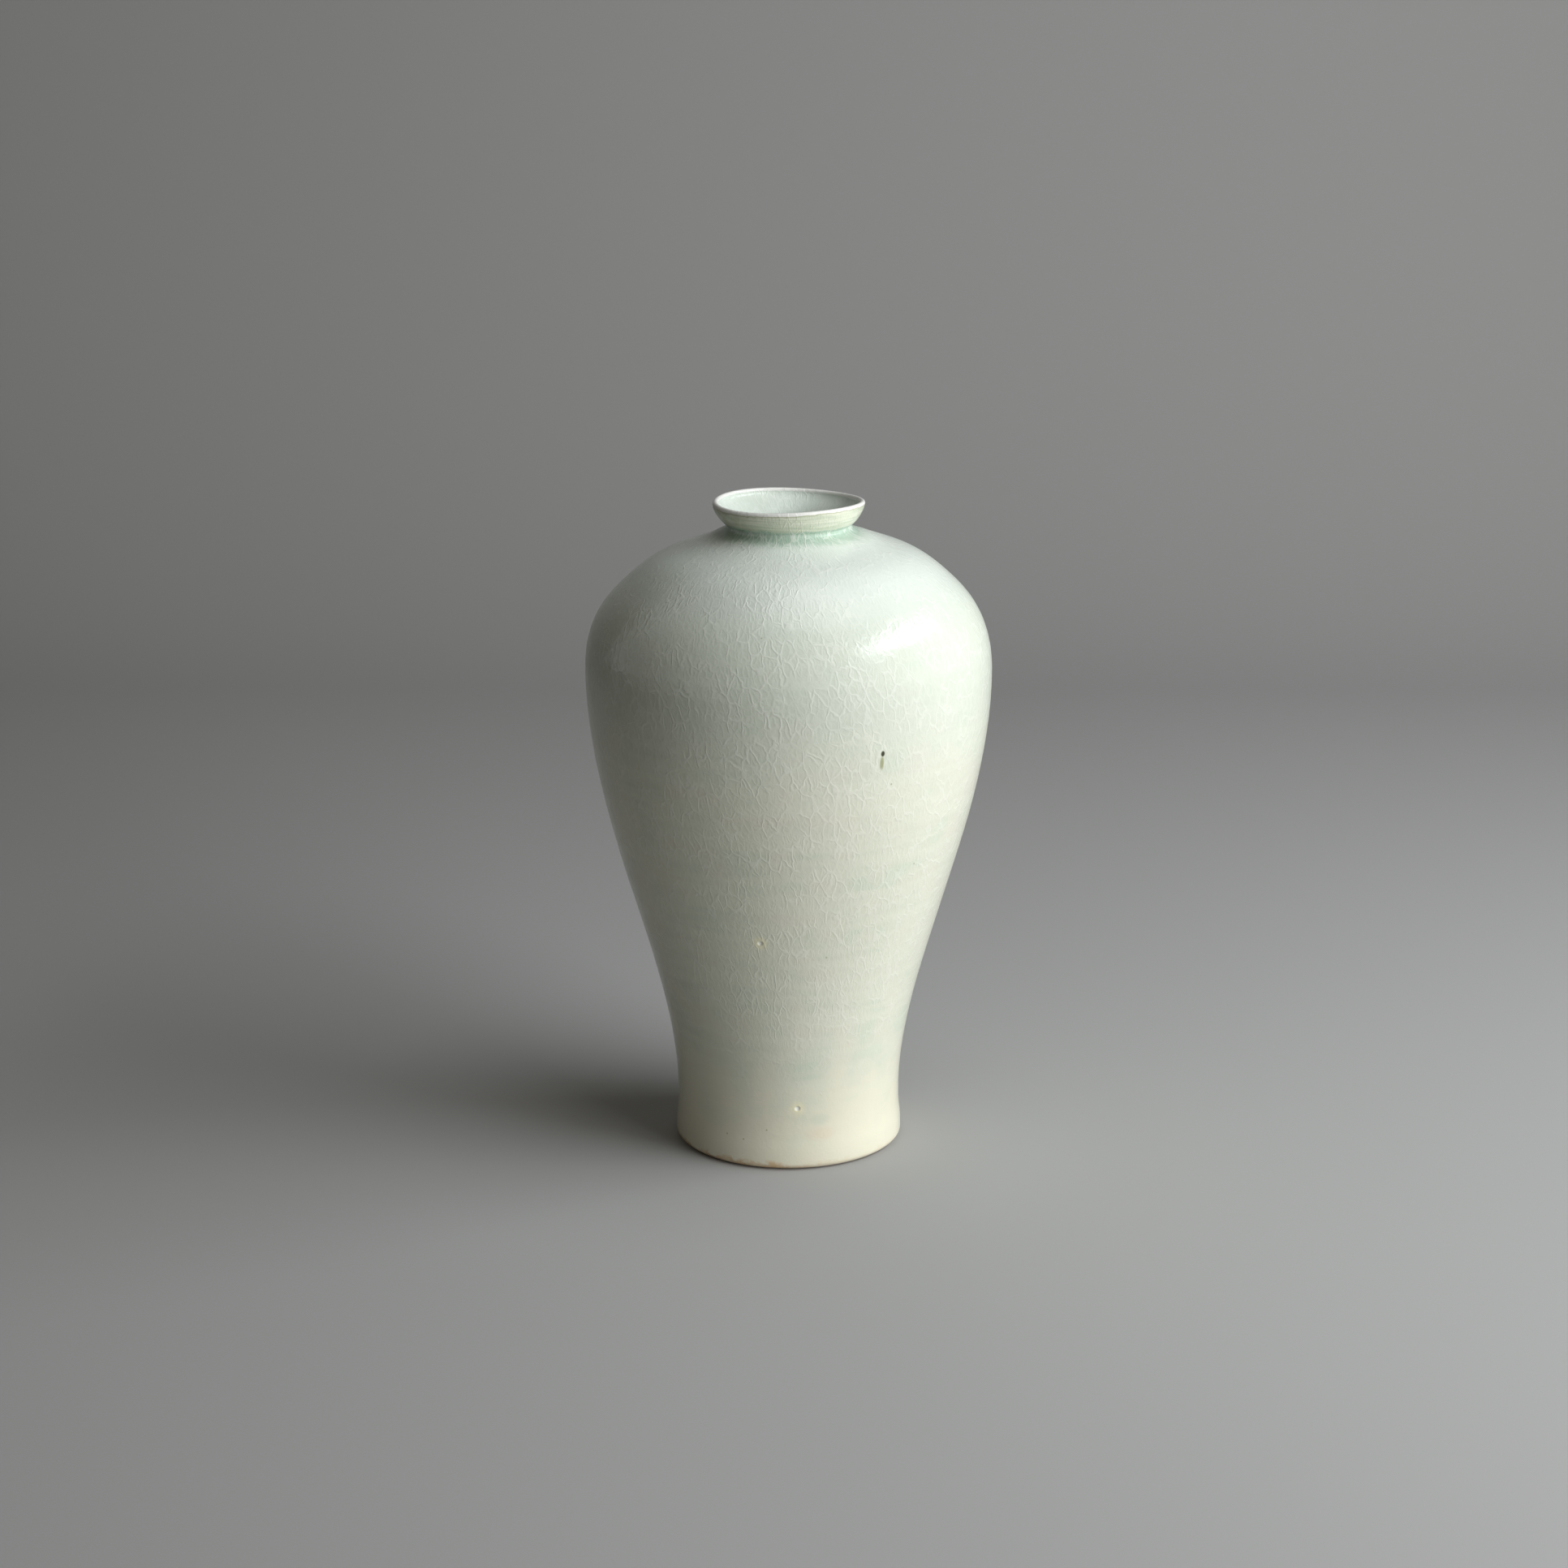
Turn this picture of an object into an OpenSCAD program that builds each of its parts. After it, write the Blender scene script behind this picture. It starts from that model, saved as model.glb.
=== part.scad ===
// Meiping vase: a thrown stoneware vessel with a dished mouth, a broad high shoulder and a narrow foot.
// Every solid is a body of revolution about Z, and the foot's resting ring lies in the plane z = 0.
// The outline is drawn over the glaze. Clay and glaze surfaces are that outline sunk along its normals,
// so neighbouring solids share the same points and meet face to face.

/* [Body] */
// Height from the resting plane to the top of the lip
vase_h = 300; // [288:1:320]
// Largest diameter, at the shoulder
shoulder_d = 184; // [176:1:192]
// Height of the largest diameter
shoulder_z = 223.5; // [214:0.5:228]
// Diameter of the waist above the foot
waist_d = 103.2; // [98:0.2:104]
// Height of the waist
waist_z = 21.5; // [19:0.5:26]

/* [Foot] */
// Diameter of the foot at its rounded edge
foot_d = 105.2; // [104.4:0.2:110]
// Height of the foot's rounded edge
foot_edge_h = 3.1; // [2:0.1:4.5]
// Width that the rounded edge takes from the resting ring
foot_edge_w = 4.5; // [3:0.1:6]
// Width of the flat resting ring
foot_ring_w = 7; // [5:0.5:10]
// Depth of the recess turned under the foot
recess_h = 5; // [4:0.5:7]
// Height of the inside floor over the resting plane
floor_z = 14; // [12:0.5:18]

/* [Crown and neck] */
// Diameter of the crown, the circle halfway up the shoulder's turn
crown_d = 149.8; // [147:0.1:153]
// Depth of the crown below the lip
crown_drop = 36.6; // [35.5:0.1:38]
// Slope of the shoulder at the crown, in degrees
crown_slope = 43.3; // [41:0.1:46]
// Diameter of the neck's root on the shoulder
root_d = 62.7; // [61:0.1:66]
// Depth of the neck's root below the lip
root_drop = 13.7; // [13.2:0.1:14.4]
// Slope of the shoulder at the neck's root, in degrees
root_slope = 23; // [20:0.2:26]
// Diameter of the short neck
neck_d = 56.6; // [55.6:0.2:57.6]
// Diameter of the throat at its narrowest
throat_d = 45; // [40:0.5:46]

/* [Mouth] */
// Outer diameter of the lip
lip_d = 68.4; // [67:0.2:72]
// Thickness of the rounded lip
lip_t = 2.6; // [2.2:0.1:3.2]

/* [Walls and glaze] */
// Wall thickness just above the floor
wall_low_t = 7; // [6:0.5:9]
// Wall thickness from the shoulder to the neck
wall_high_t = 4.4; // [4:0.1:6]
// Thickness of the outer glaze on the body
glaze_t = 0.7; // [0.6:0.1:1]
// Thickness of the glaze where it ran thin, at the foot, on the lip and inside
thin_glaze_t = 0.4; // [0.3:0.1:0.5]
// Thickness of the glaze pooled round the neck
pool_t = 1.1; // [0.9:0.1:1.3]
// Height of the coil smoothed over the body joint, inside
coil_h = 1.8; // [1:0.1:3]

/* [Joints] */
// Place of the body joint's outer edge along the shoulder curve
seam_out = 0.17; // [0.16:0.01:0.18]
// Place of the body joint's inner edge, lower than the outer one, which makes the joint a bevel
seam_in = 0.13; // [0.12:0.01:0.14]
// Place of the neck joint's inner edge along the throat
seat_in = 0.7; // [0.65:0.01:0.75]

/* [Hidden] */
$fn = 180;

clay_colour = [0.72, 0.66, 0.57];
coil_colour = [0.62, 0.55, 0.46];
glaze_colour = [0.80, 0.85, 0.77];
lining_colour = [0.84, 0.88, 0.83];

edge_r = foot_d / 2;
rest_r = edge_r - foot_edge_w;
ring_in_r = rest_r - foot_ring_w;
waist_r = waist_d / 2;
wide_r = shoulder_d / 2;
crown_z = vase_h - crown_drop;
root_z = vase_h - root_drop;
neck_r = neck_d / 2;
throat_r = throat_d / 2;
lip_r = lip_d / 2;
lip_in_r = lip_r - lip_t;

// Depths of the neck's top, of the dish's lower corner and of the throat's narrowest ring below the lip
neck_drop = 10.8;
flare_drop = 10;
throat_drop = 13;
lip_z = vase_h - lip_t / 2;
neck_z = vase_h - neck_drop;
flare_z = vase_h - flare_drop;
throat_z = vase_h - throat_drop;
// How far the dish's underside stands out at its sharp lower corner
flare_out = 0.6;

// Share of the foot's rounded edge that stays bare of glaze, and where the floor's curve meets the wall
bare_share = 0.45;
floor_share = 0.07;
// Share of the dish's underside that the pooled glaze climbs, and its thickness there
flare_share = 0.25;
climb_t = 0.6;
// Radius at which the flat of the inside floor ends
floor_flat_r = 26;
// Half the height of the coil over the body joint, along the shoulder curve
coil_reach = 0.08;
// Pull of a quarter ellipse drawn as a cubic curve
ROUND = 0.5523;

// Pulls of the long curves: how far each one leaves its end along its own direction before it bends away
waist_pull = 64.3;
belly_pull = 73.8;
shoulder_pull = 22.4;
crown_low_pull = 10.4;
crown_high_pull = 23.9;
root_out_pull = 22.7;
root_in_pull = 1.9;
neck_pull = 1.3;
floor_pull = 12;
throat_low_pull = 3.2;
throat_high_pull = 2.4;
dish_low_pull = 5;
dish_high_pull = 3.3;

// A point of a cubic curve with the corners p, at the share u of its way
function bezier(p, u) =
    p[0] * pow(1 - u, 3) + p[1] * 3 * u * pow(1 - u, 2) + p[2] * 3 * u * u * (1 - u) + p[3] * pow(u, 3);

// The normal there, which points away from the axis where the curve climbs
function bezier_normal(p, u) =
    let (t = (p[1] - p[0]) * pow(1 - u, 2) + (p[2] - p[1]) * 2 * u * (1 - u) + (p[3] - p[2]) * u * u)
    [t[1], -t[0]] / norm(t);

// A quarter ellipse that leaves its first end level and reaches its last end upright
function level_to_upright(a, b) =
    [a, [a[0] + (b[0] - a[0]) * ROUND, a[1]], [b[0], b[1] + (a[1] - b[1]) * ROUND], b];

// The same that leaves upright and arrives level
function upright_to_level(a, b) =
    [a, [a[0], a[1] + (b[1] - a[1]) * ROUND], [b[0] + (a[0] - b[0]) * ROUND, b[1]], b];

// A stroke is a run of points and their normals along a curve
function stroke(p, steps, from = 0, to = 1) =
    [for (i = [0:steps]) let (u = from + (to - from) * i / steps) [bezier(p, u), bezier_normal(p, u), u]];

// The stroke's points, sunk along the normals by a depth that changes evenly from one end to the other
function sink(s, depth_a = 0, depth_b = 0) =
    let (last = len(s) - 1)
    [for (i = [0:last]) s[i][0] - (depth_a + (depth_b - depth_a) * i / last) * s[i][1]];

// The same at one depth, with the swell of the coil over the body joint added
function sink_coil(s, depth) =
    [for (q = s) q[0] - (depth + coil_h * pow(sin(90 * (q[2] - coil_from) / coil_reach), 2)) * q[1]];

function flip(list) = [for (i = [len(list) - 1:-1:0]) list[i]];
function tail(list) = [for (i = [1:len(list) - 1]) list[i]];
function inner_points(list) = [for (i = [1:len(list) - 2]) list[i]];

// Curves of the outline, from the foot to the lip
CROWN_DOWN = [cos(crown_slope), -sin(crown_slope)];
ROOT_OUT = [cos(root_slope), -sin(root_slope)];
crown_point = [crown_d / 2, crown_z];
root_point = [root_d / 2, root_z];
neck_point = [neck_r, neck_z];
flare_point = [neck_r + flare_out, flare_z];

FOOT_EDGE = level_to_upright([rest_r, 0], [edge_r, foot_edge_h]);
FOOT_FLARE = [[edge_r, foot_edge_h], [edge_r, waist_z * 0.6], [waist_r, waist_z * 0.55], [waist_r, waist_z]];
BELLY = [
    [waist_r, waist_z], [waist_r, waist_z + waist_pull],
    [wide_r, shoulder_z - belly_pull], [wide_r, shoulder_z]];
SHOULDER = [
    [wide_r, shoulder_z], [wide_r, shoulder_z + shoulder_pull],
    crown_point + crown_low_pull * CROWN_DOWN, crown_point];
CROWN = [
    crown_point, crown_point - crown_high_pull * CROWN_DOWN,
    root_point + root_out_pull * ROOT_OUT, root_point];
ROOT = [root_point, root_point - root_in_pull * ROOT_OUT, [neck_r, neck_z - neck_pull], neck_point];
CORNER = [neck_point, [neck_r, neck_z + 0.35], flare_point - [0.32, 0.24], flare_point];
FLARE = [flare_point, flare_point + [2.1, 1.6], [lip_r - 0.3, lip_z - 3.1], [lip_r, lip_z]];
LIP_OUT = upright_to_level([lip_r, lip_z], [lip_r - lip_t / 2, vase_h]);
LIP_IN = level_to_upright([lip_r - lip_t / 2, vase_h], [lip_in_r, lip_z]);

// The same curves as strokes, each with its number of steps
foot_s = stroke(FOOT_EDGE, 4, bare_share);
foot_flare_s = stroke(FOOT_FLARE, 8);
belly_s = stroke(BELLY, 30);
shoulder_low_s = stroke(SHOULDER, 5, 0, seam_out);
shoulder_high_s = stroke(SHOULDER, 14, seam_out);
crown_s = stroke(CROWN, 20);
root_s = stroke(ROOT, 8);
corner_s = stroke(CORNER, 4);
flare_low_s = stroke(FLARE, 4, 0, flare_share);
flare_high_s = stroke(FLARE, 9, flare_share);
lip_out_s = stroke(LIP_OUT, 6);
lip_in_s = stroke(LIP_IN, 6);

// The glazed outside, from the glaze's edge at the foot to the lip's inner edge
outside = concat(
    sink(foot_s), tail(sink(foot_flare_s)), tail(sink(belly_s)), tail(sink(shoulder_low_s)),
    tail(sink(shoulder_high_s)), tail(sink(crown_s)), tail(sink(root_s)), tail(sink(corner_s)),
    tail(sink(flare_low_s)), tail(sink(flare_high_s)), tail(sink(lip_out_s)), tail(sink(lip_in_s)));

// The clay under it, in the stretches that belong to each piece
lower_outside = concat(
    sink(stroke(FOOT_EDGE, 4, 0, bare_share)), tail(sink(foot_s, 0, thin_glaze_t)),
    tail(sink(foot_flare_s, thin_glaze_t, glaze_t)), tail(sink(belly_s, glaze_t, glaze_t)),
    tail(sink(shoulder_low_s, glaze_t, glaze_t)));
upper_outside = concat(sink(shoulder_high_s, glaze_t, glaze_t), tail(sink(crown_s, glaze_t, glaze_t)));
coil_outside = sink(root_s, glaze_t, pool_t);
mouth_outside = concat(
    sink(corner_s, pool_t, pool_t), tail(sink(flare_low_s, pool_t, climb_t)),
    tail(sink(flare_high_s, climb_t, thin_glaze_t)), tail(sink(lip_out_s, thin_glaze_t, thin_glaze_t)),
    tail(sink(lip_in_s, thin_glaze_t, thin_glaze_t)));
glazed_clay = concat(
    sink(foot_s, 0, thin_glaze_t), tail(sink(foot_flare_s, thin_glaze_t, glaze_t)),
    tail(sink(belly_s, glaze_t, glaze_t)), tail(sink(shoulder_low_s, glaze_t, glaze_t)),
    tail(upper_outside), tail(coil_outside), tail(mouth_outside));

// Strokes whose normals carry the inside of the wall
low_depth = glaze_t + wall_low_t;
high_depth = glaze_t + wall_high_t;
coil_from = seam_in - coil_reach;
coil_to = seam_in + coil_reach;
wall_s = stroke(BELLY, 28, floor_share);
below_coil_s = stroke(SHOULDER, 2, 0, coil_from);
coil_low_s = stroke(SHOULDER, 7, coil_from, seam_in);
coil_high_s = stroke(SHOULDER, 7, seam_in, coil_to);
above_coil_s = stroke(SHOULDER, 11, coil_to);

// Curves of the inside, from the floor to the lip
wall_foot = sink(wall_s, low_depth + thin_glaze_t)[0];
wall_foot_normal = wall_s[0][1];
wall_down = [wall_foot_normal[1], -wall_foot_normal[0]];
throat_foot = root_point - (high_depth + thin_glaze_t) * [sin(root_slope), cos(root_slope)];
FLOOR = [[0, floor_z], [floor_flat_r / 3, floor_z], [floor_flat_r * 2 / 3, floor_z], [floor_flat_r, floor_z]];
FLOOR_CURVE = [
    [floor_flat_r, floor_z], [floor_flat_r + floor_pull, floor_z],
    wall_foot + floor_pull * wall_down, wall_foot];
THROAT = [
    throat_foot, throat_foot - throat_low_pull * ROOT_OUT,
    [throat_r, throat_z - throat_high_pull], [throat_r, throat_z]];
DISH = [
    [throat_r, throat_z], [throat_r, throat_z + dish_low_pull],
    [lip_in_r, lip_z - dish_high_pull], [lip_in_r, lip_z]];

floor_s = stroke(FLOOR, 1);
floor_curve_s = stroke(FLOOR_CURVE, 10);
throat_low_s = stroke(THROAT, 6, 0, seat_in);
throat_high_s = stroke(THROAT, 3, seat_in);
dish_s = stroke(DISH, 14);

// The clay's inner surface, in the stretches that belong to each piece
lower_inside = concat(
    sink(floor_s, -thin_glaze_t, -thin_glaze_t), tail(sink(floor_curve_s, -thin_glaze_t, -thin_glaze_t)),
    tail(sink(wall_s, low_depth, high_depth)), tail(sink(below_coil_s, high_depth, high_depth)),
    tail(sink(coil_low_s, high_depth, high_depth)));
upper_inside = concat(
    sink(coil_high_s, high_depth, high_depth), tail(sink(above_coil_s, high_depth, high_depth)),
    tail(sink(crown_s, high_depth, high_depth)), tail(sink(throat_low_s, -thin_glaze_t, -thin_glaze_t)));
mouth_inside = concat(
    sink(throat_high_s, -thin_glaze_t, -thin_glaze_t), tail(sink(dish_s, -thin_glaze_t, -thin_glaze_t)));

// What the inner glaze lies on, with the coil over the joint, and its own surface
coil_inside = concat(sink_coil(coil_low_s, high_depth), tail(sink_coil(coil_high_s, high_depth)));
lined_clay = concat(
    sink(floor_s, -thin_glaze_t, -thin_glaze_t), tail(sink(floor_curve_s, -thin_glaze_t, -thin_glaze_t)),
    tail(sink(wall_s, low_depth, high_depth)), tail(sink(below_coil_s, high_depth, high_depth)),
    tail(coil_inside), tail(sink(above_coil_s, high_depth, high_depth)),
    tail(sink(crown_s, high_depth, high_depth)), tail(sink(throat_low_s, -thin_glaze_t, -thin_glaze_t)),
    tail(mouth_inside));
lining_low = low_depth + thin_glaze_t;
lining_high = high_depth + thin_glaze_t;
lining = concat(
    sink(floor_s), tail(sink(floor_curve_s)), tail(sink(wall_s, lining_low, lining_high)),
    tail(sink(below_coil_s, lining_high, lining_high)), tail(sink_coil(coil_low_s, lining_high)),
    tail(sink_coil(coil_high_s, lining_high)), tail(sink(above_coil_s, lining_high, lining_high)),
    tail(sink(crown_s, lining_high, lining_high)), tail(sink(throat_low_s)), tail(sink(throat_high_s)),
    tail(sink(dish_s)));

// The recess under the foot: its roof, the curve down the ring's inner side and the bare clay below it
recess_end = [ring_in_r - 0.6, 1.8];
RECESS = [[ring_in_r - 4, recess_h], [ring_in_r - 1.6, recess_h], [ring_in_r - 0.9, 3], recess_end];
recess_s = stroke(RECESS, 8);
recess_clay = concat([[0, recess_h]], sink(recess_s));
recess_glaze = concat([[0, recess_h - thin_glaze_t]], sink(recess_s, -thin_glaze_t, 0));

// The neck joint: the collar's foot sits in a bevelled seat cut round the shoulder's opening
seat_outer = [neck_r - 1.7, root_z - 0.1];

module revolve(points) rotate_extrude() polygon(points);

// The lower thrown section: floor, turned foot and the wall up to the joint on the shoulder
module lower_body() color(clay_colour)
    revolve(concat(recess_clay, [[ring_in_r, 0]], lower_outside, flip(lower_inside)));

// The upper thrown section: the shoulder, closed in to the neck's opening
module upper_body() color(clay_colour)
    revolve(concat(upper_outside, [seat_outer], flip(upper_inside)));

// The neck with its dished mouth, thrown apart and set on last
module neck_and_mouth() color(clay_colour)
    revolve(concat([seat_outer], mouth_outside, flip(mouth_inside)));

// The coil smoothed over the body joint on the inside
module body_seam_coil() color(coil_colour)
    revolve(concat(
        sink(coil_low_s, high_depth, high_depth), tail(sink(coil_high_s, high_depth, high_depth)),
        flip(inner_points(coil_inside))));

// The coil that fills the corner between neck and shoulder, under the pooled glaze
module neck_seam_coil() color(coil_colour)
    revolve(concat(coil_outside, [seat_outer]));

// The celadon coat outside, from the foot over the lip
module outer_glaze() color(glaze_colour)
    revolve(concat(outside, flip(tail(glazed_clay))));

// The coat inside, from the lip down over the floor
module inner_glaze() color(lining_colour)
    revolve(concat(lined_clay, flip(lining)));

// The coat under the foot, within the ring
module base_glaze() color(lining_colour)
    revolve(concat(recess_clay, flip([for (i = [0:len(recess_glaze) - 2]) recess_glaze[i]])));

lower_body();
upper_body();
neck_and_mouth();
body_seam_coil();
neck_seam_coil();
outer_glaze();
inner_glaze();
base_glaze();
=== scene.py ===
# %% [markdown]
# # A meiping vase
# A meiping is a tall thrown vase with a broad high shoulder, a short neck and a small mouth.
# It is made on the wheel in sections. They are joined while the clay is soft, and then coated with glaze.
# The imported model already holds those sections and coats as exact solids. This lesson makes their finished
# surfaces: the same outline at a finer step, the small unevenness of a fired pot, and the celadon glaze.

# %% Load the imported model
import math
import bmesh
import bpy
import numpy as np
from mathutils import Matrix, Vector


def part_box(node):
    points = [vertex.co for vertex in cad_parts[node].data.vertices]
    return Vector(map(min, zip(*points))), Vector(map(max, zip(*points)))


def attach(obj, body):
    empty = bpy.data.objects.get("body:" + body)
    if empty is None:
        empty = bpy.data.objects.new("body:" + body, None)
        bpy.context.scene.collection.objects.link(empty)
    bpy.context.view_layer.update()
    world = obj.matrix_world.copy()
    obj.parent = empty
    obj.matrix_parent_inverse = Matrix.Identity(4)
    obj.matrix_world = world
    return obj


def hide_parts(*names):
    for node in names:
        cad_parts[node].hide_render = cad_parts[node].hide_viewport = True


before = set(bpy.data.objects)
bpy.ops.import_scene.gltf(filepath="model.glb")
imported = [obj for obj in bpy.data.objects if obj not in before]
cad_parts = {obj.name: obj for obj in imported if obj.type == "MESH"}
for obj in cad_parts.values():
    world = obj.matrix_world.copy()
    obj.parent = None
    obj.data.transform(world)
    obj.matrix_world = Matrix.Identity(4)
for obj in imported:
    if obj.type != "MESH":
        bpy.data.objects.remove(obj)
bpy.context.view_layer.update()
MM = 0.001
print("solids:", sorted(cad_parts))

# %% [markdown]
# ## The camera
# The photograph looks slightly down on the vase from about one and a half metres. A long lens keeps the
# foot and the mouth nearly in the same scale. The camera turns a little so that the vase's axis stands a
# few pixels right of the middle, as it does in the photograph, which is 1932 pixels wide.

# %% Place the camera
PHOTO_PX = 1932
FOCAL_PX = 3900
SENSOR_MM = 36
AXIS_OFF_CENTRE_PX = 5.8
CAMERA_BACK = 1400 * MM
CAMERA_UP = 545.2 * MM
CAMERA_DOWN = math.radians(15.06)

lens = bpy.data.cameras.new("camera")
lens.sensor_width = SENSOR_MM
lens.lens = FOCAL_PX * SENSOR_MM / PHOTO_PX
camera = bpy.data.objects.new("camera", lens)
camera.location = (0, -CAMERA_BACK, CAMERA_UP)
camera.rotation_euler = (math.pi / 2 - CAMERA_DOWN, 0, math.atan(AXIS_OFF_CENTRE_PX / FOCAL_PX))
bpy.context.scene.collection.objects.link(camera)
bpy.context.scene.camera = camera
print("lens in mm:", round(lens.lens, 2))

# %% [markdown]
# ## The outline
# A potter checks the outline against a rib or a template. Here the template is a chain of cubic curves,
# each set by four corners. A point on such a curve carries its normal too, so the clay under the glaze and
# the inside of the wall are the same curve sunk along its normals, and neighbouring pieces always meet.


# %% Draw along a curve
# The point at the share u of a curve, and the normal on the right of its direction.
def bezier(corners, u):
    a, b, c, d = corners
    point = a * (1 - u) ** 3 + b * 3 * u * (1 - u) ** 2 + c * 3 * u * u * (1 - u) + d * u ** 3
    tangent = (b - a) * (1 - u) ** 2 + (c - b) * 2 * u * (1 - u) + (d - c) * u * u
    tangent.normalize()
    return point, Vector((tangent.y, -tangent.x))


# Evenly spread points of a stretch of a curve, each with its normal and its share.
def stroke(corners, steps, start=0.0, end=1.0):
    places = [start + (end - start) * i / steps for i in range(steps + 1)]
    return [bezier(corners, u) + (u,) for u in places]


# The points moved against their normals. The depth may change evenly from end to end.
def sink(run, depth_a=0.0, depth_b=None):
    depth_b = depth_a if depth_b is None else depth_b
    last = len(run) - 1
    return [p - n * (depth_a + (depth_b - depth_a) * i / last) for i, (p, n, u) in enumerate(run)]


# The runs joined end to end. A run starts where the one before it ends, so its first point is left out.
def chain(*runs):
    points = list(runs[0])
    for run in runs[1:]:
        points += run[1:]
    return points


def mm(*pairs):
    return [Vector(pair) for pair in pairs]


# %% Sizes of the pot, in millimetres
outer_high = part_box("outer_glaze")[1]
LIP_TOP = outer_high.z / MM
WIDE_R, WIDE_Z = outer_high.x / MM, 223.5
WAIST_R, WAIST_Z = 51.6, 21.5
EDGE_R, EDGE_Z = 52.6, 3.1
REST_R, RING_W = 48.1, 7.0
RECESS_H, FLOOR_Z, FLOOR_FLAT = 5.0, 14.0, 26.0
CROWN = Vector((74.9, LIP_TOP - 36.6))
CROWN_SLOPE = math.radians(43.3)
ROOT = Vector((31.35, LIP_TOP - 13.7))
ROOT_SLOPE = math.radians(23)
NECK = Vector((28.3, LIP_TOP - 10.8))
FLARE = Vector((28.9, LIP_TOP - 10))
THROAT = Vector((22.5, LIP_TOP - 13))
LIP_R, LIP_T = 34.2, 2.6
GLAZE, THIN_GLAZE, POOL, CLIMB = 0.7, 0.4, 1.1, 0.6
WALL_LOW, WALL_HIGH, COIL_H = 7.0, 4.4, 1.8
print("lip at", round(LIP_TOP, 1), "and widest radius", round(WIDE_R, 1))

# %% How the curves bend, and where they are cut
# The flare of the foot bends at these two heights, in millimetres.
EDGE_BEND_Z, WAIST_BEND_Z = 12.9, 11.825
# A pull is how far the corner that bends a curve stands from the curve's end, in millimetres.
WAIST_PULL, BELLY_PULL, SHOULDER_PULL = 64.3, 73.8, 22.4
CROWN_LOW_PULL, CROWN_HIGH_PULL = 10.4, 23.9
ROOT_OUT_PULL, ROOT_IN_PULL, NECK_PULL = 22.7, 1.9, 1.3
CORNER_LOW_PULL, CORNER_HIGH_PULL = Vector((0, 0.35)), Vector((0.32, 0.24))
FLARE_PULL, LIP_PULL = Vector((2.1, 1.6)), Vector((0.3, 3.1))
FLOOR_PULL, THROAT_LOW_PULL, THROAT_HIGH_PULL = 12, 3.2, 2.4
DISH_LOW_PULL, DISH_HIGH_PULL = 5, 3.3
# A share is the place on its curve where a section, a coat or a coil begins or ends.
BARE_SHARE, FLOOR_SHARE, CLIMB_SHARE = 0.45, 0.07, 0.25
SEAM_OUT, SEAM_IN, COIL_REACH, SEAT_IN = 0.17, 0.13, 0.08, 0.70
# The inner corners that turn a cubic curve into a quarter circle stand at this share of its radius.
ROUND = 0.5523

# %% Curves of the outside, from the foot to the lip
crown_down = Vector((math.cos(CROWN_SLOPE), -math.sin(CROWN_SLOPE)))
root_out = Vector((math.cos(ROOT_SLOPE), -math.sin(ROOT_SLOPE)))
lip_z = LIP_TOP - LIP_T / 2
lip_mid, lip_in = LIP_R - LIP_T / 2, LIP_R - LIP_T
widest = Vector((WIDE_R, WIDE_Z))
lip_edge, lip_crest, lip_back = mm((LIP_R, lip_z), (lip_mid, LIP_TOP), (lip_in, lip_z))


def quarter(a, b, level_first):
    across, up = mm(((b.x - a.x) * ROUND, 0), (0, (b.y - a.y) * ROUND))
    return [a, a + across, b - up, b] if level_first else [a, a + up, b - across, b]


foot_edge = quarter(Vector((REST_R, 0)), Vector((EDGE_R, EDGE_Z)), True)
foot_flare = mm((EDGE_R, EDGE_Z), (EDGE_R, EDGE_BEND_Z), (WAIST_R, WAIST_BEND_Z), (WAIST_R, WAIST_Z))
belly = mm(
    (WAIST_R, WAIST_Z), (WAIST_R, WAIST_Z + WAIST_PULL), (WIDE_R, WIDE_Z - BELLY_PULL), (WIDE_R, WIDE_Z))
shoulder = [widest, widest + Vector((0, SHOULDER_PULL)), CROWN + crown_down * CROWN_LOW_PULL, CROWN]
crown = [CROWN, CROWN - crown_down * CROWN_HIGH_PULL, ROOT + root_out * ROOT_OUT_PULL, ROOT]
root = [ROOT, ROOT - root_out * ROOT_IN_PULL, NECK - Vector((0, NECK_PULL)), NECK]
corner = [NECK, NECK + CORNER_LOW_PULL, FLARE - CORNER_HIGH_PULL, FLARE]
flare = [FLARE, FLARE + FLARE_PULL, lip_edge - LIP_PULL, lip_edge]
lip_outer = quarter(lip_edge, lip_crest, False)
lip_inner = quarter(lip_crest, lip_back, True)

# %% The outside as a row of points
curves = (foot_flare, belly, shoulder, crown, root, corner, flare, lip_outer, lip_inner)
steps_of_curves = (12, 100, 44, 52, 14, 6, 26, 8, 8)
outside = chain(
    sink(stroke(foot_edge, 8, BARE_SHARE)),
    *[sink(stroke(curve, steps)) for curve, steps in zip(curves, steps_of_curves)])
print("points on the outside:", len(outside))

# %% [markdown]
# ## The clay under the glaze
# The clay's surface is hidden, except at the foot, so its runs are coarser than the glazed outside. It lies
# deeper where the glaze is thick. Each section of the pot takes its own stretch of it.

# %% The clay's outer surface
foot_run = stroke(foot_edge, 4, BARE_SHARE)
foot_flare_run = stroke(foot_flare, 5)
belly_run = stroke(belly, 36)
shoulder_low_run = stroke(shoulder, 4, 0, SEAM_OUT)
shoulder_high_run = stroke(shoulder, 12, SEAM_OUT)
crown_run = stroke(crown, 16)
root_run = stroke(root, 8)
corner_run = stroke(corner, 4)
flare_low_run = stroke(flare, 4, 0, CLIMB_SHARE)
flare_high_run = stroke(flare, 7, CLIMB_SHARE)
lip_outer_run = stroke(lip_outer, 4)
lip_inner_run = stroke(lip_inner, 4)

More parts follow.
